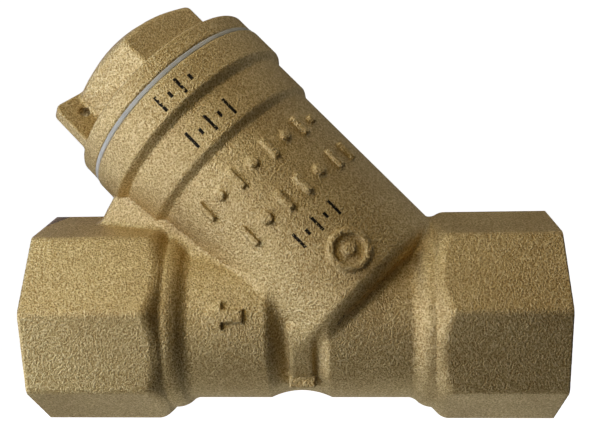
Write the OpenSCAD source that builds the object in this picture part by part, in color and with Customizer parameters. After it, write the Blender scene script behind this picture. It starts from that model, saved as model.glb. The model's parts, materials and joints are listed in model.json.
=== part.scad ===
// Brass Y-pattern strainer with threaded octagonal ends, a screwed hexagon cap
// with a seal-wire lug, a flat cap gasket and a removable screen cartridge.
// Origin: on the run axis at the first full turn of the inlet thread. +X points
// out of the inlet along the run, +Z is up and the screen branch leans towards
// the outlet (-X). Stations along the run are measured from the inlet face.

/* [Run] */
// Length from the inlet face to the outlet face
face_to_face = 105; // [104:0.5:112]
// Width across the flats of both octagonal ends
end_flats = 40; // [39.6:0.1:42]
// Length of the octagon at the inlet
inlet_end_len = 24; // [23:0.5:24.5]
// Length of the octagon at the outlet
outlet_end_len = 25.2; // [24:0.2:25.2]
// Outside diameter of the run between the ends
run_d = 34.4; // [33.6:0.2:35]
// Outside diameter of the step beside each octagon
step_d = 38.3; // [36:0.1:39]
// Outside diameter of the shallow waist under the branch
waist_d = 31.6; // [31:0.2:33]

/* [Ports] */
// Bore of the parallel G 1 female threads, at the thread crests
port_d = 30.3; // [30:0.1:30.6]
// Length of each port thread
port_len = 19; // [16:0.5:19]
// Bore of the waterway behind each thread
waterway_d = 26; // [22:0.5:26]

/* [Branch] */
// Angle between the branch and the outlet side of the run
branch_angle = 46; // [45:0.5:47]
// Distance from the inlet face to the point where the two axes cross
crossing_x = 34.9; // [34.5:0.1:35.4]
// Outside diameter of the branch barrel
branch_d = 42.6; // [42:0.1:43]
// Outside diameter of the lower collar
lower_collar_d = 44.6; // [44:0.1:45]
// Outside diameter of the upper collar
upper_collar_d = 47.3; // [46.8:0.1:48]
// Height along the branch axis of the shoulder where the barrel starts
shoulder_s = 4.6; // [4:0.1:5]
// Height along the branch axis of the foot of the lower collar
lower_collar_s = 45; // [43:0.1:46]
// Height along the branch axis of the foot of the upper collar
upper_collar_s = 54.7; // [53:0.1:55]
// Height along the branch axis of the mouth face
mouth_s = 62; // [61.5:0.1:62.5]
// Bore of the screen chamber
chamber_d = 36; // [35:0.1:36.4]

/* [Cap] */
// Pitch diameter of the M38 x 1.5 cap thread in the branch
cap_thread_d = 37.02; // [36.9:0.01:37.1]
// Radial running clearance of the cap thread
thread_clearance = 0.05; // [0.03:0.01:0.09]
// Length of the cap's male thread below the gasket seat
cap_thread_len = 11; // [9:0.5:11.5]
// Diameter of the cap's flange
flange_d = 46.6; // [46:0.1:47.2]
// Thickness of the cap's flange
flange_t = 3.9; // [3.4:0.1:4.4]
// Width across the flats of the hexagon
hex_flats = 32; // [31:0.5:33]
// Height of the hexagon above the flange
hex_h = 12.7; // [11.5:0.1:13.5]
// Diameter of the flat on top of the hexagon
hex_top_d = 20; // [16:0.5:24]
// Thickness of the seal-wire lug
lug_t = 3; // [2.4:0.1:3.4]
// Diameter of the hole through the lug
lug_hole_d = 2.2; // [1.8:0.1:2.4]
// Turn of the first hexagon corner from the front of the branch
hex_turn = 4; // [0:1:30]

/* [Gasket] */
// Outside diameter of the cap gasket
gasket_od = 46.8; // [46:0.1:47.2]
// Inside diameter of the cap gasket
gasket_id = 38.6; // [38.2:0.1:40]
// Thickness of the cap gasket
gasket_t = 1; // [0.8:0.1:1.5]

/* [Screen] */
// Outside diameter of the end rings
ring_od = 31; // [30.8:0.1:31]
// Length of each end ring
ring_len = 5; // [4:0.5:6]
// Thickness of the sheet that the cartridge is rolled from
sheet_t = 0.5; // [0.4:0.05:0.6]
// Diameter of the holes in the support tube
perforation_d = 3; // [2:0.1:3.2]
// Rows of holes along the support tube
perforation_rows = 12; // [6:1:12]
// Holes in each row
perforations_per_row = 12; // [8:2:12]
// Width of the strip over the tube's seam
seam_w = 3.6; // [3:0.1:5]

/* [Hidden] */
$fn = 96;
eps = 0.01;

brass_colour = [0.72, 0.60, 0.37];
gasket_colour = [0.90, 0.90, 0.89];
steel_colour = [0.72, 0.73, 0.74];

// Run stations along X, measured from the inlet face
outlet_x = -face_to_face;
inlet_shoulder_x = -inlet_end_len;
outlet_shoulder_x = outlet_x + outlet_end_len;
inlet_step_w = 3.6;
outlet_step_w = 3.1;
waist_from_x = -56.6;
waist_to_x = -46.6;
outlet_way_end_x = -53.6;
port_chamfer = 1.6;
relief_d = port_d + 3.2;
relief_w = 2;

// Octagon, one corner up. Its corners are turned down and its end face is
// crowned by a large sphere, which breaks the outer edge.
octagon_corner_r = end_flats / 2 / cos(22.5);
turned_corner_r = octagon_corner_r - 0.15;
crown_from_r = end_flats / 2 - 0.5;
crown_drop = 0.6;
crown_depth = (pow(turned_corner_r, 2) - pow(crown_from_r, 2) + pow(crown_drop, 2)) / 2 / crown_drop;
crown_r = norm([crown_from_r, crown_depth]);

// Branch stations along its own axis
barrel_r = branch_d / 2;
seat_bore_d = 25;
seat_s = 4.5;
seat_counterbore_d = ring_od + 0.2;
chamber_s = 7;
thread_s = mouth_s - cap_thread_len - 1.5;
mouth_chamfer = 1;
gasket_seat_s = mouth_s + gasket_t;

// Web between the branch and the outlet end, a wedge in plan
web_from_x = -91.8;
web_to_x = -62;
web_from_w = 13.9;
web_to_w = 33.2;
web_top_s = 57;

// Cap
cap_thread_r = cap_thread_d / 2 - thread_clearance;
flange_top_s = gasket_seat_s + flange_t;
hex_top_s = flange_top_s + hex_h;
hex_corner_r = hex_flats / 2 / cos(30);
dome_drop = (hex_corner_r - hex_top_d / 2) * tan(27);
dome_depth = (pow(hex_corner_r, 2) - pow(hex_top_d / 2, 2) + pow(dome_drop, 2)) / 2 / dome_drop;
dome_r = norm([hex_top_d / 2, dome_depth]);
pocket_d = ring_od + 0.2;
pocket_s = 64.8;
hollow_d = 22;
hollow_s = 73;
lug_turn = hex_turn - 60;
lug_in_r = 14.5;
lug_out_r = flange_d / 2 - 0.4;
lug_top_s = flange_top_s + 10;
lug_corner_r = 1.6;
lug_hole_r_pos = 18.8;
lug_hole_s = flange_top_s + 5.6;

// Screen cartridge
screen_from_s = seat_s + 0.1;
screen_to_s = pocket_s - 0.3;
ring_wall = 0.45;
ring_gap = 0.05;
tube_r = ring_od / 2 - ring_wall - ring_gap;
mesh_r = tube_r - sheet_t - ring_gap;
mesh_t = 0.4;
ring_inner_r = mesh_r - mesh_t - ring_gap - ring_wall;
tube_from_s = screen_from_s + ring_wall + ring_gap;
tube_to_s = screen_to_s - ring_wall - ring_gap;
seam_from_s = screen_from_s + ring_len + ring_gap;
seam_to_s = screen_to_s - ring_len - ring_gap;
perforation_margin = 3;

// Cast marks on the branch and the flow arrow on the run
mark_h = 0.5;
arrow_x = -65.7;
arrow_z = -0.4;

// Puts a shape drawn along Z onto the run axis, its Z running along +X.
module on_run(x) {
    translate([port_chamfer + x, 0, 0]) rotate([0, 90, 0]) children();
}

// Puts a shape drawn along Z onto the branch axis. Its X points to the front
// (-Y) and its Y points away from the run's outlet side.
module on_branch() {
    translate([port_chamfer - crossing_x, 0, 0])
        rotate([0, branch_angle - 90, 0])
            rotate([0, 0, -90]) children();
}

// One solid of revolution about Z from a list of [radius, height] points.
module turned(points) {
    rotate_extrude() polygon(points);
}

module chamfered_bore(d, depth, chamfer) {
    translate([0, 0, -depth]) cylinder(d = d, h = depth + eps);
    translate([0, 0, -chamfer])
        cylinder(r1 = d / 2, r2 = d / 2 + chamfer + eps, h = chamfer + eps);
}

// Octagonal end from z = 0 at the outer face downwards.
module octagon_end(length) {
    intersection() {
        translate([0, 0, -length]) cylinder(r = octagon_corner_r, h = length, $fn = 8);
        translate([0, 0, -length - 1]) cylinder(r = turned_corner_r, h = length + 2);
        translate([0, 0, -crown_depth]) sphere(r = crown_r, $fn = 192);
    }
}

module run_outside() {
    on_run(0) octagon_end(inlet_end_len);
    on_run(outlet_x) mirror([0, 0, 1]) octagon_end(outlet_end_len);
    on_run(outlet_shoulder_x - 1) cylinder(d = step_d, h = outlet_step_w + 1);
    on_run(inlet_shoulder_x - inlet_step_w) cylinder(d = step_d, h = inlet_step_w + 1);
    on_run(outlet_shoulder_x) cylinder(d = run_d, h = waist_from_x - outlet_shoulder_x);
    on_run(waist_to_x) cylinder(d = run_d, h = inlet_shoulder_x - waist_to_x);
    on_run(waist_from_x - 1) cylinder(d = waist_d, h = waist_to_x - waist_from_x + 2);
}

module branch_outside() {
    on_branch() turned([
        [0, shoulder_s],
        [barrel_r - 0.8, shoulder_s],
        [barrel_r, shoulder_s + 0.8],
        [barrel_r, lower_collar_s],
        [lower_collar_d / 2, lower_collar_s],
        [lower_collar_d / 2, upper_collar_s],
        [upper_collar_d / 2, upper_collar_s],
        [upper_collar_d / 2, mouth_s - 0.5],
        [upper_collar_d / 2 - 0.5, mouth_s],
        [0, mouth_s]
    ]);
}

// Flat-sided web in the corner between the branch and the outlet end.
module web() {
    intersection() {
        translate([port_chamfer, 0, 0]) linear_extrude(30) polygon([
            [web_from_x, -web_from_w / 2], [web_to_x, -web_to_w / 2],
            [web_to_x, web_to_w / 2], [web_from_x, web_from_w / 2]
        ]);
        on_branch() translate([-branch_d, -5 - branch_d, 0]) cube([2 * branch_d, branch_d, web_top_s]);
    }
}

// Port thread bore, relief and waterway, drawn down from a port's mouth.
module port_inside(waterway_to) {
    chamfered_bore(port_d, port_len, port_chamfer);
    translate([0, 0, -port_len - relief_w]) cylinder(d = relief_d, h = relief_w);
    translate([0, 0, -waterway_to]) cylinder(d = waterway_d, h = waterway_to);
}

module run_inside() {
    on_run(0) port_inside(crossing_x + 3);
    on_run(outlet_x) mirror([0, 0, 1]) port_inside(outlet_way_end_x - outlet_x);
}

module branch_inside() {
    on_branch() {
        translate([0, 0, -5]) cylinder(d = seat_bore_d, h = seat_s + 5 + eps);
        translate([0, 0, seat_s]) cylinder(d = seat_counterbore_d, h = chamber_s - seat_s + eps);
        translate([0, 0, chamber_s]) cylinder(d = chamber_d, h = thread_s - chamber_s + eps);
        translate([0, 0, mouth_s]) chamfered_bore(cap_thread_d, mouth_s - thread_s, mouth_chamfer);
    }
}

// Arrow outline pointing to -X, its middle at the origin.
module arrow_outline() {
    polygon([[-3.7, 0], [-0.6, 2.6], [-0.6, 1.3], [3.7, 1.3], [3.7, -1.3], [-0.6, -1.3], [-0.6, -2.6]]);
}

module flow_arrow() {
    intersection() {
        on_run(arrow_x - 8) cylinder(d = run_d + 2 * mark_h, h = 16);
        translate([port_chamfer + arrow_x, -run_d / 2 + 2, arrow_z])
            rotate([90, 0, 0]) linear_extrude(4) arrow_outline();
    }
}

// A plain bar or stud that stands out of the barrel at height s and a turn
// from its front, cut off level by the marks' shell.
module barrel_bar(s, turn, along, across) {
    rotate([0, 0, turn])
        translate([barrel_r - 1, -across / 2, s - along / 2])
            cube([2, across, along]);
}

module barrel_stud(s, turn, d) {
    rotate([0, 0, turn])
        translate([barrel_r - 1, 0, s]) rotate([0, 90, 0]) cylinder(d = d, h = 2);
}

// Plain cast bars and studs in two bands, and a ring below them.
module cast_marks() {
    on_branch() intersection() {
        translate([0, 0, shoulder_s + 2])
            cylinder(r = barrel_r + mark_h, h = lower_collar_s - shoulder_s - 4);
        union() {
            for (i = [0 : 7]) {
                if (i % 2 == 0) barrel_bar(37.8, -30 + i * 12, 4.6, 1.3);
                else barrel_stud(37.8, -30 + i * 12, 2);
            }
            for (i = [0 : 6]) {
                if (i % 3 == 1) barrel_stud(28.2, -22 + i * 13, 2.4);
                else barrel_bar(28.2, -22 + i * 13, 4.6, 1.3);
            }
            difference() {
                barrel_stud(12.9, 10, 8.4);
                barrel_stud(12.9, 10, 6);
            }
            barrel_stud(12.9, 10, 2.6);
        }
    }
}

module body() {
    color(brass_colour) difference() {
        union() {
            run_outside();
            branch_outside();
            web();
            flow_arrow();
            cast_marks();
        }
        run_inside();
        branch_inside();
    }
}

// Side view of the lug: radius along X, height along the branch axis along Y.
module lug_outline() {
    translate([lug_in_r, flange_top_s - 1])
        square([lug_out_r - lug_in_r, lug_top_s - lug_corner_r - flange_top_s + 1]);
    translate([lug_in_r, flange_top_s])
        square([lug_out_r - lug_in_r - lug_corner_r, lug_top_s - flange_top_s]);
    translate([lug_out_r - lug_corner_r, lug_top_s - lug_corner_r]) circle(r = lug_corner_r);
}

// Stands its children in the lug's plane, their Z across the lug's thickness.
module on_lug() {
    rotate([0, 0, lug_turn]) rotate([90, 0, 0]) children();
}

module seal_lug() {
    on_lug() translate([0, 0, -lug_t / 2]) linear_extrude(lug_t) lug_outline();
}

// Hole for the seal wire, drilled through the lug and the hexagon's corner.
module lug_hole() {
    on_lug() translate([lug_hole_r_pos, lug_hole_s, -2 * lug_t]) cylinder(d = lug_hole_d, h = 4 * lug_t);
}

// Hexagon with a crowned top and a flat in its middle.
module hex_head() {
    intersection() {
        translate([0, 0, flange_top_s - eps]) rotate([0, 0, hex_turn])
            cylinder(r = hex_corner_r, h = hex_h + eps, $fn = 6);
        translate([0, 0, hex_top_s - dome_depth]) sphere(r = dome_r, $fn = 192);
    }
}

module cap() {
    thread_from_s = gasket_seat_s - cap_thread_len;
    neck_r = gasket_id / 2 - 0.4;
    color(brass_colour) on_branch() difference() {
        union() {
            turned([[0, thread_from_s], [cap_thread_r - 0.8, thread_from_s],
                    [cap_thread_r, thread_from_s + 0.8], [cap_thread_r, mouth_s - 2],
                    [cap_thread_r - 0.6, mouth_s - 1.4], [cap_thread_r - 0.6, gasket_seat_s + eps],
                    [flange_d / 2 - 0.3, gasket_seat_s], [flange_d / 2, gasket_seat_s + 0.3],
                    [flange_d / 2, flange_top_s - 0.4], [flange_d / 2 - 0.4, flange_top_s],
                    [0, flange_top_s]]);
            hex_head();
            seal_lug();
        }
        translate([0, 0, thread_from_s - eps])
            cylinder(d = pocket_d, h = pocket_s - thread_from_s + eps);
        cylinder(d = hollow_d, h = hollow_s);
        lug_hole();
    }
}

module cap_gasket() {
    color(gasket_colour) on_branch() translate([0, 0, mouth_s]) difference() {
        cylinder(d = gasket_od, h = gasket_t);
        translate([0, 0, -1]) cylinder(d = gasket_id, h = gasket_t + 2);
    }
}

module sleeve(r_out, r_in, from_s, to_s) {
    translate([0, 0, from_s]) difference() {
        cylinder(r = r_out, h = to_s - from_s);
        translate([0, 0, -1]) cylinder(r = r_in, h = to_s - from_s + 2);
    }
}

// Rolled perforated sheet, its holes staggered by half a step in every other
// row. Each hole is cut by its own short pin, so no two cutters meet.
module screen_support_tube() {
    step = 360 / perforations_per_row;
    first_s = seam_from_s + perforation_margin;
    pitch = (seam_to_s - perforation_margin - first_s) / (perforation_rows - 1);
    color(steel_colour) on_branch() difference() {
        sleeve(tube_r, tube_r - sheet_t, tube_from_s, tube_to_s);
        for (row = [0 : perforation_rows - 1], i = [0 : perforations_per_row - 1])
            rotate([0, 0, (i + (row % 2) / 2) * step])
                translate([tube_r - 2, 0, first_s + row * pitch])
                    rotate([0, 90, 0]) cylinder(d = perforation_d, h = 4, $fn = 32);
    }
}

module screen_mesh() {
    color(steel_colour) on_branch() sleeve(mesh_r, mesh_r - mesh_t, tube_from_s, tube_to_s);
}

// Folded ring that clasps one edge of the tube and the mesh, its web at z = 0.
module folded_ring() {
    outer_r = ring_od / 2;
    rotate_extrude() polygon([
        [ring_inner_r, 0], [outer_r, 0], [outer_r, ring_len], [outer_r - ring_wall, ring_len],
        [outer_r - ring_wall, ring_wall], [ring_inner_r + ring_wall, ring_wall],
        [ring_inner_r + ring_wall, ring_len], [ring_inner_r, ring_len]
    ]);
}

module screen_upper_ring() {
    color(steel_colour) on_branch() translate([0, 0, screen_to_s]) mirror([0, 0, 1]) folded_ring();
}

module screen_lower_ring() {
    color(steel_colour) on_branch() translate([0, 0, screen_from_s]) folded_ring();
}

// Strip welded over the seam of the rolled tube, at the back of the branch.
module screen_seam_strip() {
    color(steel_colour) on_branch() intersection() {
        sleeve(ring_od / 2, tube_r, seam_from_s, seam_to_s);
        translate([-ring_od, -seam_w / 2, 0]) cube([ring_od, seam_w, screen_to_s]);
    }
}

body();
cap();
cap_gasket();
screen_support_tube();
screen_mesh();
screen_upper_ring();
screen_lower_ring();
screen_seam_strip();
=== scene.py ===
import json
import math

import bpy
import numpy as np
from mathutils import Matrix, Vector


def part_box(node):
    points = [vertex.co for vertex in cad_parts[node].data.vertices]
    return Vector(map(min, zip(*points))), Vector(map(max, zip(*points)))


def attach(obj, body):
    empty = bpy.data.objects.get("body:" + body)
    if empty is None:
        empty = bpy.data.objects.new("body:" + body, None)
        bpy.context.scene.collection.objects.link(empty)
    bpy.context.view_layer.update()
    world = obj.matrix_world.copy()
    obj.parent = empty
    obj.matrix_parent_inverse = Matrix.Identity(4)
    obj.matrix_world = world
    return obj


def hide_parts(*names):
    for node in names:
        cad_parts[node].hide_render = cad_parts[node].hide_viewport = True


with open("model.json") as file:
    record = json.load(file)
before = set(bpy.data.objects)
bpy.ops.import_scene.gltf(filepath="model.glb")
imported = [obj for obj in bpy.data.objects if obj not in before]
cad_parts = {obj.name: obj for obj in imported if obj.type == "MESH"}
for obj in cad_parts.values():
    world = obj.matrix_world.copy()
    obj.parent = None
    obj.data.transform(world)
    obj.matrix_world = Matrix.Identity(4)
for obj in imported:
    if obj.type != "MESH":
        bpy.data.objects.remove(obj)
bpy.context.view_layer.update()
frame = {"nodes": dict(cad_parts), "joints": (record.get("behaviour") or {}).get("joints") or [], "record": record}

# Brass Y strainer. The castings are described as distance fields in millimetres
# and polygonised, so fillets, cast marks and real threads are one clean mesh.
MM = 0.001

# ---------------------------------------------------------------- the frame
mounts = {m["name"]: m for m in frame["record"]["mounts"]}
turn_joint = [j for j in frame["joints"] if j["name"] == "cap_turn"][0]
axis_at = np.array(turn_joint["pos_m"]) / MM
axis_s = np.array(turn_joint["axis"], float)
axis_s /= np.linalg.norm(axis_s)
front = np.array([0.0, -1.0, 0.0])
axis_v = np.cross(axis_s, front)


def branch_rows(node):
    """Lowest and highest station and smallest and largest radius of a CAD node about the branch axis, in mm."""
    co = np.array([v.co for v in frame["nodes"][node].data.vertices], float) / MM - axis_at
    s = co @ axis_s
    rho = np.linalg.norm(co - s[:, None] * axis_s, axis=1)
    return s.min(), s.max(), rho.min(), rho.max()


body_lo, body_hi = [np.array(v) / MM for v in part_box("body")]
INLET_X, OUTLET_X = body_hi[0], body_lo[0]
OCT_FLAT_R = -body_lo[2] * math.cos(math.pi / 8)
MOUTH_S, GASKET_TOP_S, GASKET_IN_R, GASKET_OUT_R = branch_rows("cap_gasket")
CAP_FROM_S, CAP_TO_S, _, _ = branch_rows("cap")
PORT_R = mounts["inlet_port"]["dims"]["r_mm"]

# ------------------------------------------------------- named sizes, in mm
# Run tube, its octagon ends and the turned steps behind them
RUN_R = 17.2
STEP_R = 19.15
OCT_ROUND = 2.2
OCT_EDGE_R = 22.0
INLET_END_LEN = 24.9
OUTLET_END_LEN = 27.0
INLET_STEP_AT = 26.6
OUTLET_STEP_AT = 29.3
SLOPE_45 = 0.707

# Waist under the branch, with a ribbed pad and the smooth boss above it
WAIST_R = 15.75
WAIST_HALF = 6.3
WAIST_SIDE_DEPTH = 2.8
WAIST_X = (INLET_X + OUTLET_X) / 2 + 1.0
PAD_FROM_X = WAIST_X - 2.0
PAD_TO_X = WAIST_X + 3.1
PAD_LOW_Z = -14.6
PAD_TOP_Z = -12.3
PAD_FRONT_Y = -9.7
BOSS_R = 15.9

# Corner web between the branch and the outlet end
WEB_X = (INLET_X + OUTLET_X) / 2 - 27.0
WEB_HALF = 10.97
WEB_FLARE = 0.327
WEB_MAX_HALF = 16.1
WEB_TOP_S = 58

# Branch: barrel, its two collars, and the marks raised on it
BARREL_R = 21.3
COLLAR_RISE = 1.0
MOUTH_RISE = 1.35
BRANCH_FOOT_S = 4.6
MARK_HEIGHT = 0.8
ARROW_HEIGHT = 0.9

# Bores and threads
PORT_PITCH = 2.309
PORT_ROOT_R = 16.62
UNDERCUT_R = 16.8
WATERWAY_R = 13.0
SEAT_R = 12.5
RING_SEAT_R = 15.6
CHAMBER_R = 18.0
MOUTH_PITCH = 1.5

# Cap
FLANGE_R = 23.3
FLANGE_THICK = 3.9
HEX_FLAT_R = 16.0
HEX_TURN = math.radians(4)
DOME_SLOPE = math.radians(27)
SEAL_HOLE_R = 1.1
PLUG_R = 18.95

GRID_BODY = 0.45
GRID_CAP = 0.3


# ------------------------------------------------------- distance-field tools
def union(a, b):
    return np.minimum(a, b)


def union_round(a, b, r):
    """Union with a circular fillet of radius r where the two shapes meet."""
    return np.maximum(r, np.minimum(a, b)) - np.hypot(np.maximum(r - a, 0), np.maximum(r - b, 0))


def common_round(a, b, r):
    """Intersection whose outer edge is rounded to radius r."""
    return np.minimum(-r, np.maximum(a, b)) + np.hypot(np.maximum(r + a, 0), np.maximum(r + b, 0))


def cut(a, b):
    return np.maximum(a, -b)


def cut_round(a, b, r):
    return common_round(a, -b, r)


def slab(x, lo, hi):
    return np.maximum(lo - x, x - hi)


def smoothstep(x, lo, hi):
    t = np.clip((x - lo) / (hi - lo), 0, 1)
    return t * t * (3 - 2 * t)


def polygon_prism(u, v, flat_r, sides, first_corner, corner_round):
    """Distance from a regular prism's side walls, its corners rounded."""
    step = 2 * math.pi / sides
    turn = np.arctan2(v, u) - first_corner - step / 2
    turn = turn - np.round(turn / step) * step
    rho = np.hypot(u, v)
    across, along = rho * np.cos(turn), np.abs(rho * np.sin(turn))
    inner = flat_r - corner_round
    over = along - inner * math.tan(step / 2)
    near = across - inner
    return np.where(over > 0, np.hypot(np.maximum(near, 0), over) + np.minimum(near, 0), near) - corner_round


def thread_radius(depth, turn, pitch, crest_r, root_r, half_angle):
    """Radius of a right-hand thread's surface. depth runs along the axis, turn about it."""
    phase = depth / pitch - turn / (2 * math.pi)
    w = np.abs(phase - np.round(phase)) * 2
    sharp = pitch / 2 / math.tan(math.radians(half_angle))
    middle = (crest_r + root_r) / 2
    return middle + (0.5 - w) * sharp, min(crest_r, root_r), max(crest_r, root_r)


# ---------------------------------------------------------- polygoniser
def polygonise(field, lo, hi, h):
    """Dual contouring of field(x, y, z) inside a box. Returns vertices, quads and unit normals."""
    lo = np.array(lo, float)
    n = np.ceil((np.array(hi) - lo) / h).astype(int) + 1
    ax = [lo[i] + h * np.arange(n[i]) for i in range(3)]
    values = np.empty(n, np.float32)
    for i in range(0, n[0], 16):
        gx, gy, gz = np.meshgrid(ax[0][i:i + 16], ax[1], ax[2], indexing="ij")
        values[i:i + 16] = field(gx, gy, gz)
    inside = values < 0

    def at(p):
        return field(p[:, 0], p[:, 1], p[:, 2])

    def gradient(p, e=0.03):
        g = np.stack([at(p + d) - at(p - d) for d in np.eye(3) * e], 1)
        return g / np.maximum(np.linalg.norm(g, axis=1), 1e-9)[:, None]

    strides = np.array([n[1] * n[2], n[2], 1])
    cells, points, quads = [], [], []
    count = 0
    for a in range(3):
        near = [slice(None)] * 3
        far = [slice(None)] * 3
        near[a], far[a] = slice(0, -1), slice(1, None)
        crossing = np.argwhere(inside[tuple(near)] != inside[tuple(far)])
        b, c = (a + 1) % 3, (a + 2) % 3
        keep = (crossing[:, b] > 0) & (crossing[:, c] > 0)
        crossing = crossing[keep]
        step = np.zeros(3, int)
        step[a] = 1
        f0 = values[tuple(crossing.T)].astype(float)
        f1 = values[tuple((crossing + step).T)].astype(float)
        t = np.clip(f0 / (f0 - f1), 0.02, 0.98)
        p = lo + h * (crossing + t[:, None] * step)
        g = np.zeros(3)
        g[a] = h
        left, right = lo + h * crossing, lo + h * (crossing + step)
        for _ in range(3):
            fp = at(p)
            low_side = (fp < 0) == (f0 < 0)
            left = np.where(low_side[:, None], p, left)
            right = np.where(low_side[:, None], right, p)
            fl = np.where(low_side, fp, f0)
            fr = np.where(low_side, f1, fp)
            f0, f1 = fl, fr
            t = np.clip(fl / np.where(fl == fr, 1, fl - fr), 0.05, 0.95)
            p = left + (right - left) * t[:, None]
        base = crossing @ strides
        around = np.stack([base, base - strides[b], base - strides[b] - strides[c], base - strides[c]], 1)
        flip = inside[tuple(crossing.T)]
        around = np.where(flip[:, None], around, around[:, ::-1])
        quads.append(around)
        cells.append(np.repeat(np.arange(len(p)) + count, 4))
        points.append(p)
        count += len(p)
    quads = np.concatenate(quads)
    points = np.concatenate(points)
    owner = np.concatenate(cells)
    normals = gradient(points)
    ids, which = np.unique(quads.ravel(), return_inverse=True)
    m = len(ids)

    def gather(v):
        return np.bincount(which, weights=v[owner], minlength=m)

    number = gather(np.ones(len(points)))
    mean = np.stack([gather(points[:, i]) for i in range(3)], 1) / number[:, None]
    offset = np.einsum("ij,ij->i", normals, points)
    ata = np.empty((m, 3, 3))
    for i in range(3):
        for j in range(i, 3):
            ata[:, i, j] = ata[:, j, i] = gather(normals[:, i] * normals[:, j])
    atb = np.stack([gather(normals[:, i] * offset) for i in range(3)], 1)
    pull = 0.06
    atb += pull * mean
    ata += pull * np.eye(3)
    verts = np.linalg.solve(ata, atb[..., None])[..., 0]
    corner = np.stack([ids // strides[0], (ids // strides[1]) % n[1], ids % n[2]], 1)
    cell_lo = lo + h * corner
    verts = np.clip(verts, cell_lo + 0.02 * h, cell_lo + 0.98 * h)
    return verts, which.reshape(-1, 4), gradient(verts)


def quad_mesh(name, verts, quads, normals, transform=None):
    """A mesh object in metres, smooth shaded with the field's own normals."""
    if transform is not None:
        verts = verts @ transform[0].T + transform[1]
        normals = normals @ transform[0].T
    me = bpy.data.meshes.new(name)
    me.vertices.add(len(verts))
    me.vertices.foreach_set("co", (verts * MM).astype(np.float32).ravel())
    me.loops.add(quads.size)
    me.loops.foreach_set("vertex_index", quads.astype(np.int32).ravel())
    me.polygons.add(len(quads))
    me.polygons.foreach_set("loop_start", np.arange(0, quads.size, 4, dtype=np.int32))
    me.polygons.foreach_set("loop_total", np.full(len(quads), 4, np.int32))
    me.update(calc_edges=True)
    me.polygons.foreach_set("use_smooth", np.ones(len(quads), bool))
    me.normals_split_custom_set_from_vertices(normals.astype(np.float32))
    o = bpy.data.objects.new(name, me)
    bpy.context.scene.collection.objects.link(o)
    return o


def branch_uvs(x, y, z):
    """Row coordinates to (front, across, along the branch) coordinates, in mm."""
    dx = x - axis_at[0]
    u = -y
    v = dx * axis_v[0] + z * axis_v[2]
    s = dx * axis_s[0] + z * axis_s[2]
    return u, v, s


# ---------------------------------------------------------- body
def octagon_end(x, y, z, face, outward, length):
    """Octagonal pipe end, its corners rounded, with a turned cone behind it."""
    sides = polygon_prism(y, z, OCT_FLAT_R + 0.15, 8, 0.0, OCT_ROUND)
    r = np.hypot(y, z)
    depth = (face - x) * outward
    d = common_round(sides, slab(depth, 0, length), 0.15)
    edge = ((r - OCT_EDGE_R) - depth) * SLOPE_45
    d = common_round(d, edge, 0.2)
    cone = ((r - STEP_R) - (length - depth)) * SLOPE_45
    return common_round(d, cone, 0.9)


def neck_step(x, r, flat_end, outward):
    """Turned step between an octagon and the tube, with a slope down to the tube."""
    reach = (flat_end - x) * outward
    slope = ((r - STEP_R) + reach) * SLOPE_45
    return np.maximum(common_round(r - STEP_R, slope, 1.1), slab(reach, -6, 4))


def waist_depth(x, y, z):
    """How far the tube is scooped out under the branch: a shallow arc below, deeper at both sides."""
    mid = x - WAIST_X
    deepest = RUN_R - WAIST_R
    below = np.maximum(deepest - (deepest / WAIST_HALF ** 2) * mid ** 2, 0)
    beside = WAIST_SIDE_DEPTH * smoothstep(mid, -6.6, -1.6) * (1 - smoothstep(mid, 2.8, WAIST_HALF))
    turn = np.degrees(np.arctan2(z, np.abs(y)))
    share = smoothstep(turn, -64, -46)
    return below * (1 - share) + beside * share


def run_outside(x, y, z):
    """Run tube with its waist, the ribbed pad under it, the neck steps and both octagons."""
    r = np.hypot(y, z)
    tube = slab(x, OUTLET_X + 10, INLET_X - 10)
    d = np.maximum((r - RUN_R + waist_depth(x, y, z)) * 0.85, tube)
    sides = slab(x, PAD_FROM_X, PAD_TO_X)
    pad = common_round(sides, slab(z, PAD_LOW_Z, PAD_TOP_Z), 0.3)
    d = union_round(d, common_round(pad, slab(y, PAD_FRONT_Y, 0), 0.3), 0.25)
    boss = common_round(common_round(sides, r - BOSS_R, 1.0), slab(z, PAD_TOP_Z, -3), 0.3)
    d = union_round(d, np.maximum(boss, y), 0.6)
    outlet_step = neck_step(x, r, OUTLET_X + OUTLET_STEP_AT, -1)
    inlet_step = neck_step(x, r, INLET_X - INLET_STEP_AT, 1)
    d = union_round(union_round(d, outlet_step, 0.7), inlet_step, 0.7)
    d = union_round(d, octagon_end(x, y, z, INLET_X, 1, INLET_END_LEN), 0.8)
    return union_round(d, octagon_end(x, y, z, OUTLET_X, -1, OUTLET_END_LEN), 0.8)


def web(x, y, z, v, s):
    """Flat-sided web that fills the corner between the branch and the outlet end."""
    side = (np.abs(y) - WEB_HALF - WEB_FLARE * (x - WEB_X)) * 0.95
    end = ((OUTLET_X + 13.1 - x) + (z - 22.7) * 0.58) * 0.86
    d = common_round(side, end, 0.8)
    taper = 0.15 * np.maximum(x - OUTLET_X - 38, 0)
    d = common_round(d, np.abs(y) - WEB_MAX_HALF + taper, 6.0)
    d = np.maximum(np.maximum(d, -z), x - OUTLET_X - 53)
    return np.maximum(d, np.maximum(s - WEB_TOP_S, v + 5))


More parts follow.
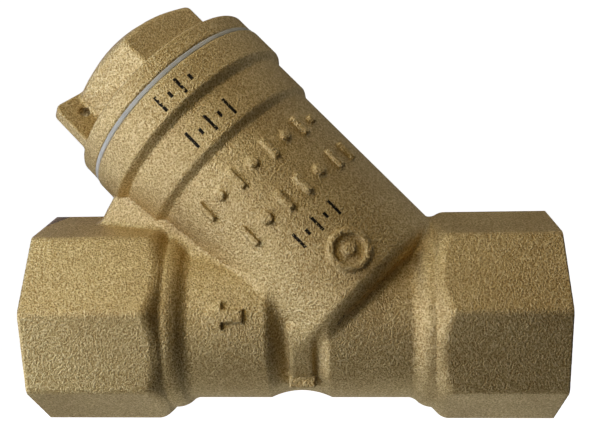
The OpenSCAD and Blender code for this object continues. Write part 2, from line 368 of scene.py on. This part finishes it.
def cast_marks(u, v, s):
    """Plain raised bars and studs on the barrel, as distances on its unrolled surface."""
    turn = np.degrees(np.arctan2(v, u))
    arc = math.radians(1) * BARREL_R
    best = np.full(np.shape(u), 99.0)

    def bar(s0, t0, along, across):
        a = np.abs(s - s0) - along / 2 + 0.3
        b = np.abs((turn - t0) * arc) - across / 2 + 0.3
        return np.hypot(np.maximum(a, 0), np.maximum(b, 0)) + np.minimum(np.maximum(a, b), 0) - 0.3

    def stud(s0, t0, d):
        return np.hypot(s - s0, (turn - t0) * arc) - d / 2

    for i in range(8):
        t0 = -30 + 12 * i
        best = union(best, bar(37.8, t0, 4.6, 1.3) if i % 2 == 0 else stud(37.8, t0, 2.0))
    for i in range(7):
        t0 = -22 + 13 * i
        best = union(best, stud(28.2, t0, 2.4) if i % 3 == 1 else bar(28.2, t0, 4.6, 1.3))
    best = union(best, np.abs(stud(12.9, 10, 7.2)) - 0.6)
    return union(best, stud(12.9, 10, 2.6))


def branch_outside(u, v, s):
    """Barrel with its two collars, a rounded foot and the raised marks on its front."""
    rho = np.hypot(u, v)
    radius = BARREL_R + COLLAR_RISE * smoothstep(s, 43.9, 46.1) + MOUTH_RISE * smoothstep(s, 53.6, 55.8)
    d = common_round((rho - radius) * 0.9, BRANCH_FOOT_S - s, 3.0)
    d = common_round(d, s - MOUTH_S, 0.5)
    marks = common_round(cast_marks(u, v, s), rho - BARREL_R - MARK_HEIGHT, 0.2)
    marks = np.maximum(np.maximum(marks, 19 - rho), -u)
    return union_round(d, marks, 0.25)


def arrow(x, z):
    """Distance from the flow arrow's outline, pointing to the outlet."""
    px = x + 64.1
    pz = np.abs(z + 0.5)
    head = np.maximum(-(px + 3.7) * 0.643 + pz * 0.766, px + 0.4)
    shaft = np.maximum(slab(px, -1.0, 3.7), pz - 1.25)
    return union(head, shaft)


def port_inside(depth, y, z, outward, waterway_to):
    """Threaded port, undercut and waterway. depth grows inwards from the face."""
    r = np.hypot(y, z)
    turn = np.arctan2(z, y) * outward
    surface, low, high = thread_radius(depth, turn, PORT_PITCH, PORT_R, PORT_ROOT_R, 27.5)
    fade = smoothstep(depth, 18.2, 19.6)
    surface = np.clip(surface, low, high)
    surface = surface * (1 - fade) + low * fade
    threads = np.maximum((r - surface) * 0.5, slab(depth, -2, 19.5))
    undercut = np.maximum(r - UNDERCUT_R, slab(depth, 18.8, 21.0))
    chamfer = ((r - 17.0) + depth) * SLOPE_45
    way = np.maximum(r - WATERWAY_R, slab(depth, 0, waterway_to))
    return union(union(threads, undercut), union(np.maximum(chamfer, -2 - depth), way))


def branch_inside(u, v, s):
    """Seat bore, chamber, mouth thread and its lead-in."""
    rho = np.hypot(u, v)
    seat = np.maximum(rho - SEAT_R, slab(s, -5, 5))
    counter = np.maximum(rho - RING_SEAT_R, slab(s, 4.5, 8))
    chamber = np.maximum(rho - CHAMBER_R, slab(s, 7, MOUTH_S - 11))
    depth = s - GASKET_TOP_S
    turn = np.arctan2(v, u)
    surface, low, high = thread_radius(depth, turn, MOUTH_PITCH, 18.19, 19.02, 30)
    threads = np.maximum((rho - np.clip(surface, low, high)) * 0.6, slab(s, MOUTH_S - 12.5, MOUTH_S + 2))
    chamfer = ((rho - 19.4) + (MOUTH_S - s)) * SLOPE_45
    mouth = np.maximum(chamfer, s - MOUTH_S - 2)
    return union(union(union(seat, counter), union(chamber, threads)), mouth)


def body_field(x, y, z):
    """The whole casting: run tube, web and branch, less the ports and the bores."""
    u, v, s = branch_uvs(x, y, z)
    d = union_round(run_outside(x, y, z), web(x, y, z, v, s), 1.0)
    fillet = 0.3 + 1.5 * smoothstep(x, -66.0, -50.0)
    d = union_round(d, branch_outside(u, v, s), fillet)
    r = np.hypot(y, z)
    mark = np.maximum(common_round(arrow(x, z), r - (RUN_R + ARROW_HEIGHT), 0.2), y + 10)
    d = union_round(d, mark, 0.2)
    inner = union(
        port_inside(INLET_X - x, y, z, 1, 37.9),
        port_inside(x - OUTLET_X, y, z, -1, 51.4),
    )
    return cut(d, union(inner, branch_inside(u, v, s)))


# ---------------------------------------------------------- cap
def cap_field(u, v, s):
    """The cap: flange, domed hexagon, pierced lug and hollow threaded plug."""
    rho = np.hypot(u, v)
    flange_top = GASKET_TOP_S + FLANGE_THICK
    flange = common_round(rho - FLANGE_R, slab(s, GASKET_TOP_S, flange_top), 0.45)
    sides = polygon_prism(u, v, HEX_FLAT_R, 6, HEX_TURN, 0.9)
    hexagon = common_round(sides, slab(s, flange_top - 1, CAP_TO_S), 0.4)
    dome = ((s - CAP_TO_S) + (rho - 10) * math.tan(DOME_SLOPE)) * math.cos(DOME_SLOPE)
    hexagon = common_round(hexagon, dome, 0.9)
    d = union_round(flange, hexagon, 0.6)
    turn = HEX_TURN - math.pi / 3
    radial = u * math.cos(turn) + v * math.sin(turn)
    aside = -u * math.sin(turn) + v * math.cos(turn)
    lug = common_round(slab(radial, 14.5, 23.2), slab(s, flange_top - 1, flange_top + 10), 1.6)
    lug = common_round(lug, np.abs(aside) - 1.5, 0.5)
    d = union_round(d, lug, 0.6)
    hole = np.hypot(radial - 18.8, s - flange_top - 5.6) - SEAL_HOLE_R
    d = cut_round(d, hole, 0.15)
    turn = np.arctan2(v, u)
    surface, low, high = thread_radius(s - GASKET_TOP_S, turn, MOUTH_PITCH, PLUG_R, 18.08, 30)
    surface = np.clip(surface, low, high)
    surface = np.minimum(surface, PLUG_R - np.maximum(CAP_FROM_S + 1.0 - s, 0))
    surface = np.where(s > MOUTH_S - 2, np.minimum(surface, 18.0), surface)
    plug = np.maximum((rho - surface) * 0.6, slab(s, CAP_FROM_S, GASKET_TOP_S + 0.5))
    d = union(d, plug)
    pocket = np.maximum(rho - 15.6, s - 64.8)
    hollow = np.maximum(rho - 11, s - 73)
    return cut(d, union(pocket, hollow))


# ---------------------------------------------------------- build meshes
TO_ROW = np.stack([front, axis_v, axis_s], 1)


def declare(o, body, node):
    """Ties a visual piece to its moving body and to the CAD node whose look it takes over."""
    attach(o, body)
    if node:
        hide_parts(node)
    return o


def face_centres(o):
    """Middle of each face, in mm."""
    me = o.data
    centre = np.empty(len(me.polygons) * 3, np.float32)
    me.polygons.foreach_get("center", centre)
    return centre.reshape(-1, 3).astype(float) / MM


def paint(o, cast, machined, is_machined):
    """Two materials, the second on the faces that a tool has turned or bored."""
    o.data.materials.append(cast)
    o.data.materials.append(machined)
    o.data.polygons.foreach_set("material_index", is_machined.astype(np.int32))


def make_body(cast, machined):
    """Casting, with bright metal where it has been turned, bored or threaded."""
    pad = 2 * GRID_BODY
    lo, hi = body_lo - pad, body_hi + pad
    o = quad_mesh("body_casting", *polygonise(body_field, lo, hi, GRID_BODY))
    x, y, z = face_centres(o).T
    u, v, s = branch_uvs(x, y, z)
    r, rho = np.hypot(y, z), np.hypot(u, v)
    in_ports = (r < 17.05) & ((x > INLET_X - 21.2) | (x < OUTLET_X + 21.2))
    faces = (x > INLET_X - 0.08) | (x < OUTLET_X + 0.08)
    in_branch = ((rho < 19.6) & (s > 4.4)) | (s > MOUTH_S - 0.1)
    in_seat = (rho < 12.6) & (s > -4.9)
    in_ways = r < 13.1
    paint(o, cast, machined, in_ports | faces | in_branch | in_seat | in_ways)
    return declare(o, "housing", "body")


def make_cap(cast, machined):
    """Forged cap, with bright metal on its seat, thread and hollow."""
    pad = 2 * GRID_CAP
    lo = (-24 - pad, -24 - pad, CAP_FROM_S - pad)
    hi = (24 + pad, 24 + pad, CAP_TO_S + pad)
    o = quad_mesh("cap_forging", *polygonise(cap_field, lo, hi, GRID_CAP), (TO_ROW, axis_at))
    u, v, s = branch_uvs(*face_centres(o).T)
    rho = np.hypot(u, v)
    inside = (rho < 15.7) & (s < 64.9) | (rho < 11.1) & (s < 73.1)
    paint(o, cast, machined, (s < GASKET_TOP_S + 0.05) | inside)
    return declare(o, "cap", "cap")


def soft_mesh(name, verts, quads, sharp=32):
    """A mesh object in metres from branch coordinates in mm, smooth but for its sharp edges."""
    me = bpy.data.meshes.new(name)
    row = verts @ TO_ROW.T + axis_at
    me.from_pydata((row * MM).tolist(), [], quads.tolist())
    me.shade_smooth()
    me.set_sharp_from_angle(angle=math.radians(sharp))
    o = bpy.data.objects.new(name, me)
    bpy.context.scene.collection.objects.link(o)
    return o


def rounded(points, radius, steps=5):
    """A closed outline with each corner replaced by an arc of the given radius."""
    pts = [np.array(p, float) for p in points]
    out = []
    for i, p in enumerate(pts):
        a, b = pts[i - 1] - p, pts[(i + 1) % len(pts)] - p
        a, b = a / np.linalg.norm(a), b / np.linalg.norm(b)
        half = math.acos(np.clip(a @ b, -1, 1)) / 2
        middle = (a + b) / np.linalg.norm(a + b)
        centre = p + middle * radius / math.sin(half)
        from_v = p + a * radius / math.tan(half) - centre
        to_v = p + b * radius / math.tan(half) - centre
        start = math.atan2(from_v[1], from_v[0])
        swing = (math.atan2(to_v[1], to_v[0]) - start + math.pi) % (2 * math.pi) - math.pi
        for k in range(steps + 1):
            t = start + swing * k / steps
            out.append(centre + radius * np.array([math.cos(t), math.sin(t)]))
    return out


def lathe(name, outline, steps=192):
    """Revolves a closed outline of (radius, station) points about the branch axis."""
    pts = np.array(outline)
    n = len(pts)
    t = 2 * math.pi * np.arange(steps) / steps
    verts = np.stack([
        np.outer(np.cos(t), pts[:, 0]).ravel(),
        np.outer(np.sin(t), pts[:, 0]).ravel(),
        np.tile(pts[:, 1], steps),
    ], 1)
    i, j = np.meshgrid(np.arange(steps), np.arange(n), indexing="ij")
    i2, j2 = (i + 1) % steps, (j + 1) % n
    quads = np.stack([i * n + j, i2 * n + j, i2 * n + j2, i * n + j2], -1).reshape(-1, 4)
    area = np.sum(pts[:, 0] * np.roll(pts[:, 1], -1) - np.roll(pts[:, 0], -1) * pts[:, 1])
    return soft_mesh(name, verts, quads if area > 0 else quads[:, ::-1])


def make_gasket(finish):
    """Flat ring with softly rounded edges."""
    lo, hi = MOUTH_S, GASKET_TOP_S
    outline = rounded([(GASKET_IN_R, lo), (GASKET_OUT_R, lo), (GASKET_OUT_R, hi), (GASKET_IN_R, hi)], 0.22)
    o = lathe("gasket_ring", outline)
    o.data.materials.append(finish)
    return declare(o, "gasket", "cap_gasket")


def make_ring(node, finish):
    """Folded end ring: an outer and an inner lip joined by a flat web."""
    lo, hi, inner, outer = branch_rows(node)
    wall = 0.45
    web_at, lip_at = (lo, hi) if node == "screen_lower_ring" else (hi, lo)
    step = wall if lip_at > web_at else -wall
    outline = rounded([
        (inner, web_at), (outer, web_at), (outer, lip_at), (outer - wall, lip_at),
        (outer - wall, web_at + step), (inner + wall, web_at + step), (inner + wall, lip_at), (inner, lip_at),
    ], 0.16)
    o = lathe(node + "_folded", outline)
    o.data.materials.append(finish)
    return declare(o, "screen", node)


def wire_tubes(paths, across, wire_r, sides=6, closed=False):
    """Round wires along paths (wires, points, 3); across is each point's sideways direction."""
    wires, count, _ = paths.shape
    radial = np.concatenate([paths[..., :2], np.zeros((wires, count, 1))], 2)
    radial /= np.linalg.norm(radial, axis=2, keepdims=True)
    a = 2 * math.pi * np.arange(sides) / sides
    ring = np.cos(a)[:, None] * radial[:, :, None] + np.sin(a)[:, None] * across[:, :, None]
    verts = (paths[:, :, None] + wire_r * ring).reshape(-1, 3)
    steps = count if closed else count - 1
    w, i, k = np.meshgrid(np.arange(wires), np.arange(steps), np.arange(sides), indexing="ij")
    i2, k2 = (i + 1) % count, (k + 1) % sides
    base = w * count
    quads = np.stack([
        (base + i) * sides + k, (base + i2) * sides + k, (base + i2) * sides + k2, (base + i) * sides + k2,
    ], -1).reshape(-1, 4)
    return verts, quads


def make_woven_mesh(finish):
    """Plain weave of round wires: one set along the tube, one set round it."""
    lo, hi, inner, outer = branch_rows("screen_mesh")
    middle = (inner + outer) / 2
    wire_r = 0.115
    along_count = 94
    hoop_count = int((hi - lo) / (2 * math.pi * middle / along_count))
    fine = 4
    pitch = (hi - lo) / hoop_count
    turn = 2 * math.pi / along_count

    i = np.arange(along_count)[:, None]
    t = (np.arange(hoop_count * fine + 1) / fine)[None, :]
    r = middle + wire_r * np.cos(math.pi * (t - 0.5 + i))
    angle = i * turn + 0 * t
    along = np.stack([r * np.cos(angle), r * np.sin(angle), lo + pitch * t + 0 * angle], 2)
    sideways = np.stack([-np.sin(angle), np.cos(angle), 0 * angle], 2)
    verts_a, quads_a = wire_tubes(along, sideways, wire_r)

    j = np.arange(hoop_count)[:, None]
    t = (np.arange(along_count * fine) / fine)[None, :]
    r = middle - wire_r * np.cos(math.pi * (t + j))
    angle = t * turn + 0 * j
    hoops = np.stack([r * np.cos(angle), r * np.sin(angle), lo + pitch * (j + 0.5) + 0 * angle], 2)
    upward = np.zeros_like(hoops)
    upward[..., 2] = 1
    verts_h, quads_h = wire_tubes(hoops, upward, wire_r, closed=True)

    verts = np.concatenate([verts_a, verts_h])
    quads = np.concatenate([quads_a, quads_h + len(verts_a)])
    o = soft_mesh("woven_wire_sleeve", verts, quads, 60)
    o.data.materials.append(finish)
    return declare(o, "screen", "screen_mesh")


# ---------------------------------------------------------- materials
def principled(name, **values):
    """A new material with some of its shader values set."""
    m = bpy.data.materials.new(name)
    m.use_nodes = True
    p = m.node_tree.nodes["Principled BSDF"]
    for key, value in values.items():
        p.inputs[key.replace("_", " ")].default_value = value
    return m, m.node_tree, p


class Nodes:
    """Short calls for building one material's node tree."""

    def __init__(self, tree):
        self.tree = tree
        self.where = tree.nodes.new("ShaderNodeTexCoord").outputs["Object"]

    def link(self, out, socket):
        self.tree.links.new(out, socket)

    def noise(self, scale, detail=2, rough=0.5, vector=None):
        n = self.tree.nodes.new("ShaderNodeTexNoise")
        n.inputs["Scale"].default_value = scale
        n.inputs["Detail"].default_value = detail
        n.inputs["Roughness"].default_value = rough
        self.link(vector or self.where, n.inputs["Vector"])
        return n.outputs["Fac"]

    def cells(self, scale):
        n = self.tree.nodes.new("ShaderNodeTexVoronoi")
        n.inputs["Scale"].default_value = scale
        self.link(self.where, n.inputs["Vector"])
        return n.outputs["Distance"]

    def math(self, kind, a, b=None, c=None):
        n = self.tree.nodes.new("ShaderNodeMath")
        n.operation = kind
        for socket, value in zip(n.inputs, (a, b, c)):
            if value is None:
                continue
            if isinstance(value, (int, float)):
                socket.default_value = value
            else:
                self.link(value, socket)
        return n.outputs[0]

    def ramp(self, fac, *stops):
        n = self.tree.nodes.new("ShaderNodeValToRGB")
        e = n.color_ramp.elements
        while len(e) < len(stops):
            e.new(0.5)
        for element, (at, colour) in zip(e, stops):
            element.position = at
            element.color = (*colour, 1)
        self.link(fac, n.inputs["Fac"])
        return n.outputs["Color"]

    def blend(self, kind, fac, a, b):
        n = self.tree.nodes.new("ShaderNodeMix")
        n.data_type = "RGBA"
        n.blend_type = kind
        n.clamp_result = False
        if isinstance(fac, (int, float)):
            n.inputs[0].default_value = fac
        else:
            self.link(fac, n.inputs[0])
        self.link(a, n.inputs[6])
        self.link(b, n.inputs[7])
        return n.outputs[2]

    def bump(self, height, distance, strength, normal=None):
        n = self.tree.nodes.new("ShaderNodeBump")
        n.inputs["Strength"].default_value = strength
        n.inputs["Distance"].default_value = distance
        self.link(height, n.inputs["Height"])
        if normal:
            self.link(normal, n.inputs["Normal"])
        return n.outputs["Normal"]

    def dot(self, vector, offset):
        n = self.tree.nodes.new("ShaderNodeVectorMath")
        n.operation = "DOT_PRODUCT"
        n.inputs[1].default_value = Vector(vector) / MM
        self.link(self.where, n.inputs[0])
        return self.math("SUBTRACT", n.outputs["Value"], offset)


def ink_marks(k):
    """Mask of the dark printed dashes on the collars and the barrel."""
    s = k.dot(axis_s, float(axis_s @ axis_at))
    u = k.dot(front, float(front @ axis_at))
    v = k.dot(axis_v, float(axis_v @ axis_at))
    turn = k.math("MULTIPLY", k.math("ARCTAN2", v, u), 180 / math.pi)
    total = None
    for station, middle, count, height in ((58.3, 3.3, 4, 3.8), (49.2, 4.8, 5, 4.0), (20.8, 7.5, 5, 3.6)):
        pitch = 6.4
        first = middle - pitch * count / 2
        along = k.math("ABSOLUTE", k.math("SUBTRACT", s, station))
        steps = k.math("DIVIDE", k.math("SUBTRACT", turn, first), pitch)
        cell = k.math("FLOOR", steps)
        short = k.math("MULTIPLY", k.math("MODULO", cell, 2), height * 0.32)
        within = k.math("LESS_THAN", k.math("ADD", along, short), height / 2)
        dash = k.math("LESS_THAN", k.math("ABSOLUTE", k.math("SUBTRACT", k.math("FRACT", steps), 0.5)), 0.13)
        inside = k.math("LESS_THAN", k.math("ABSOLUTE", k.math("SUBTRACT", steps, count / 2)), count / 2)
        row = k.math("MULTIPLY", k.math("MULTIPLY", within, dash), inside)
        total = row if total is None else k.math("MAXIMUM", total, row)
    total = k.math("MULTIPLY", total, k.math("GREATER_THAN", u, 0))
    worn = k.math("GREATER_THAN", k.noise(2400, 2), 0.36)
    return k.math("MULTIPLY", total, worn)


def blasted_brass(name, printed):
    """Shot-blasted hot-pressed brass: dimpled grain, brown in the pits with painted shade there and painted
    highlight on the crests, dull patches.
    """
    m, tree, p = principled(name, Metallic=1.0)
    k = Nodes(tree)
    grain = k.noise(3400, 2, 0.6)
    dimples = k.cells(2400)
    height = k.math("ADD", grain, k.math("MULTIPLY", dimples, 0.5))
    # Colour follows the grain's height: partly the grain's own tone, partly painted shade in the pits and painted
    # highlight on the crests.
    tone = k.ramp(height, (0.46, (0.35, 0.235, 0.093)), (0.70, (0.60, 0.455, 0.215)), (0.95, (0.86, 0.72, 0.42)))
    cloud = k.ramp(k.noise(70, 4, 0.6), (0.35, (0.86, 0.83, 0.80)), (0.65, (1.0, 1.0, 1.0)))
    tone = k.blend("MULTIPLY", 1.0, tone, cloud)
    if printed:
        ink = ink_marks(k)
        dark = k.ramp(grain, (0.3, (0.012, 0.011, 0.010)), (0.7, (0.035, 0.03, 0.025)))
        tone = k.blend("MIX", ink, tone, dark)
    k.link(tone, p.inputs["Base Color"])
    rough = tree.nodes.new("ShaderNodeMapRange")
    rough.inputs["To Min"].default_value = 0.62
    rough.inputs["To Max"].default_value = 0.46
    k.link(grain, rough.inputs["Value"])
    k.link(rough.outputs["Result"], p.inputs["Roughness"])
    k.link(k.bump(height, 0.00018, 1.0), p.inputs["Normal"])
    return m


def machined_brass(name):
    """Turned and bored brass: bright, with fine tool lines."""
    m, tree, p = principled(name, Metallic=1.0)
    k = Nodes(tree)
    lines = k.noise(900, 3, 0.7)
    fine = k.noise(5000, 1)
    tone = k.ramp(lines, (0.3, (0.66, 0.50, 0.25)), (0.7, (0.86, 0.70, 0.40)))
    k.link(tone, p.inputs["Base Color"])
    k.link(k.ramp(lines, (0.25, (0.22, 0.22, 0.22)), (0.8, (0.36, 0.36, 0.36))), p.inputs["Roughness"])
    k.link(k.bump(fine, 0.00003, 0.5), p.inputs["Normal"])
    return m


def white_ptfe():
    """Dull white gasket plastic, slightly mottled."""
    m, tree, p = principled("white_ptfe", Roughness=0.5)
    k = Nodes(tree)
    k.link(k.ramp(k.noise(240, 3), (0.3, (0.44, 0.44, 0.42)), (0.7, (0.62, 0.62, 0.60))), p.inputs["Base Color"])
    k.link(k.bump(k.noise(1500, 2), 0.00005, 0.4), p.inputs["Normal"])
    return m


def stainless(name, dark, light, grain_scale):
    """Stainless steel with a fine streaky surface."""
    m, tree, p = principled(name, Metallic=1.0)
    k = Nodes(tree)
    streaks = k.noise(grain_scale, 4, 0.65)
    k.link(k.ramp(streaks, (0.3, dark), (0.7, light)), p.inputs["Base Color"])
    k.link(k.ramp(k.noise(300, 3), (0.3, (0.24, 0.24, 0.24)), (0.8, (0.42, 0.42, 0.42))), p.inputs["Roughness"])
    k.link(k.bump(streaks, 0.00002, 0.6), p.inputs["Normal"])
    return m


machined = machined_brass("machined_brass")
sheet_steel = stainless("sheet_steel", (0.42, 0.42, 0.42), (0.62, 0.62, 0.61), 1200)
wire_steel = stainless("wire_steel", (0.34, 0.34, 0.35), (0.52, 0.52, 0.52), 2500)
body = make_body(blasted_brass("blasted_brass_body", True), machined)
cap = make_cap(blasted_brass("blasted_brass_cap", False), machined)
make_gasket(white_ptfe())
for ring in ("screen_upper_ring", "screen_lower_ring"):
    make_ring(ring, sheet_steel)
make_woven_mesh(wire_steel)
for name, o in frame["nodes"].items():
    o.data.materials.clear()
    o.data.materials.append(sheet_steel)

# ---------------------------------------------------------- camera and light
MIDDLE_X = (INLET_X + OUTLET_X) / 2


def make_camera():
    """The catalogue view: slightly from below and from the right."""
    data = bpy.data.cameras.new("camera")
    data.sensor_width = 36
    data.lens = 52.65
    data.clip_start, data.clip_end = 0.01, 10
    cam = bpy.data.objects.new("camera", data)
    bpy.context.scene.collection.objects.link(cam)
    cam.location = Vector((MIDDLE_X + 11.84, -185.4, -2.84)) * MM
    turn, lift, roll = math.radians(3.616), math.radians(7.296), math.radians(-0.27)
    cam.matrix_world = (
        Matrix.Translation(cam.location)
        @ Matrix.Rotation(turn, 4, "Z")
        @ Matrix.Rotation(math.pi / 2 + lift, 4, "X")
        @ Matrix.Rotation(roll, 4, "Z")
    )
    bpy.context.scene.camera = cam


make_camera()


def stage_plane(name, size, place, glow):
    """A plain white plane that only the camera sees: it neither lights nor shades the strainer."""
    me = bpy.data.meshes.new(name)
    k = size / 2
    me.from_pydata([(-k, -k, 0), (k, -k, 0), (k, k, 0), (-k, k, 0)], [], [(0, 1, 2, 3)])
    o = bpy.data.objects.new(name, me)
    bpy.context.scene.collection.objects.link(o)
    o.matrix_world = place
    m, _, p = principled(name, **{"Base Color": (1, 1, 1, 1), "Roughness": 0.9})
    p.inputs["Emission Color"].default_value = (1, 1, 1, 1)
    p.inputs["Emission Strength"].default_value = glow
    me.materials.append(m)
    o.visible_diffuse = o.visible_glossy = o.visible_shadow = False


stage_plane("floor", 4, Matrix.Translation((0, 0, -0.05)), 1.0)
for side in range(4):
    about = Matrix.Rotation(side * math.pi / 2, 4, "Z")
    upright = Matrix.Translation((0, 1.95, 0)) @ Matrix.Rotation(math.pi / 2, 4, "X")
    stage_plane("backdrop_%d" % side, 4, about @ upright, 1.0)


# The soft boxes give the left side and the facets their cool and warm tones.
def area_light(name, at, aim, size, power, colour=(1, 1, 1)):
    data = bpy.data.lights.new(name, "AREA")
    data.shape = "RECTANGLE"
    data.size, data.size_y = size
    data.energy = power
    data.color = colour
    o = bpy.data.objects.new(name, data)
    bpy.context.scene.collection.objects.link(o)
    o.location = at
    o.rotation_mode = "QUATERNION"
    o.rotation_quaternion = (Vector(aim) - Vector(at)).to_track_quat("-Z", "Y")
    return o


def soft_box(name, turn, lift, distance, size, power):
    """A square light aimed at the strainer from a turn to the right of the camera side and a lift."""
    centre = Vector((MIDDLE_X * MM, 0, 0.01))
    a, e = math.radians(turn), math.radians(lift)
    way = Vector((math.sin(a) * math.cos(e), -math.cos(a) * math.cos(e), math.sin(e)))
    strongest = max(power)
    area_light(name, centre + way * distance, centre, (size, size), strongest, [c / strongest for c in power])


soft_box("left_wide", -60, 0, 0.7, 0.6, (0.48, 0.33, 0.66))
soft_box("left_key", -42, 2, 0.7, 0.3, (0.48, 0.70, 1.05))
soft_box("left_high", -60, 45, 0.7, 0.6, (0.60, 0.46, 0.12))
soft_box("left_under", -60, -45, 0.7, 0.6, (0.25, 0.18, 0.11))
soft_box("left_near", -90, -25, 0.3, 0.2, (0.22, 0.23, 0.25))
soft_box("left_low", -60, -25, 0.3, 0.2, (0.10, 0.13, 0.13))
soft_box("left_small", -60, 35, 0.3, 0.2, (0.10, 0.15, 0.19))
soft_box("front_near", -35, 5, 0.3, 0.2, (0.17, 0.12, 0.03))
soft_box("front_high", 0, 45, 0.7, 0.6, (0.36, 0.24, 0.07))
soft_box("front", -12, 0, 0.7, 0.6, (0.12, 0.10, 0.05))
soft_box("top", 0, 85, 0.7, 0.6, (0.75, 0.68, 0.60))
soft_box("under", 0, -80, 0.7, 0.6, (0.20, 0.18, 0.14))
soft_box("under_rim", 180, -48, 0.7, 0.6, (0.72, 0.72, 0.68))
soft_box("left_rim", -120, 30, 0.7, 0.6, (0.39, 0.335, 0.50))
soft_box("right_rim", 120, 30, 0.7, 0.6, (0.45, 0.44, 0.42))

world = bpy.data.worlds.new("world")
world.use_nodes = True
world.node_tree.nodes["Background"].inputs["Color"].default_value = (1, 1, 1, 1)
world.node_tree.nodes["Background"].inputs["Strength"].default_value = 0.02
bpy.context.scene.world = world
bpy.context.scene.view_settings.view_transform = "Standard"
